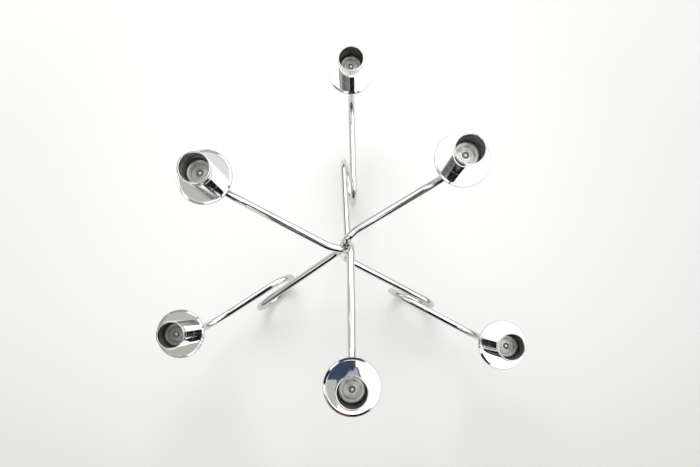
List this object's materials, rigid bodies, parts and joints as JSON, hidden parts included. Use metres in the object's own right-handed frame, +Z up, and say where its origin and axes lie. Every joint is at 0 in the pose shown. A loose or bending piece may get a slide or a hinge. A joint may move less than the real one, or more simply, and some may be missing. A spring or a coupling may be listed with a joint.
{
  "type": "candelabra",
  "caption": "Tabletop candelabra of bent round rods that rise from one bundle to candle cups on round pans and stand on foot loops.",
  "frame": {"origin": "on the centre line of the three rods' bundle, at the level of the table that the foot loops stand on", "axes": "+Z up; rod a's lower arm runs out along about +Y and its upper arm along about -Y"},
  "size_m": [0.3463, 0.3353, 0.2776],
  "materials": {
    "rod_chrome": "polished chrome plate",
    "pan_chrome": "mirror chrome plate",
    "cup_chrome": "polished chrome plate outside, turned inside",
    "rivet_chrome": "polished chrome plate",
    "braze_metal": "brazing metal, plated over where it shows"
  },
  "bodies": {
    "root": {"rod_a": "rod_chrome", "drip_pan_upper_a": "pan_chrome", "candle_cup_upper_a": "cup_chrome", "rivet_upper_a": "rivet_chrome", "drip_pan_lower_a": "pan_chrome", "candle_cup_lower_a": "cup_chrome", "rivet_lower_a": "rivet_chrome", "rod_b": "rod_chrome", "drip_pan_upper_b": "pan_chrome", "candle_cup_upper_b": "cup_chrome", "rivet_upper_b": "rivet_chrome", "drip_pan_lower_b": "pan_chrome", "candle_cup_lower_b": "cup_chrome", "rivet_lower_b": "rivet_chrome", "rod_c": "rod_chrome", "drip_pan_upper_c": "pan_chrome", "candle_cup_upper_c": "cup_chrome", "rivet_upper_c": "rivet_chrome", "drip_pan_lower_c": "pan_chrome", "candle_cup_lower_c": "cup_chrome", "rivet_lower_c": "rivet_chrome", "bundle_braze": "braze_metal"}
  },
  "joints": []
}
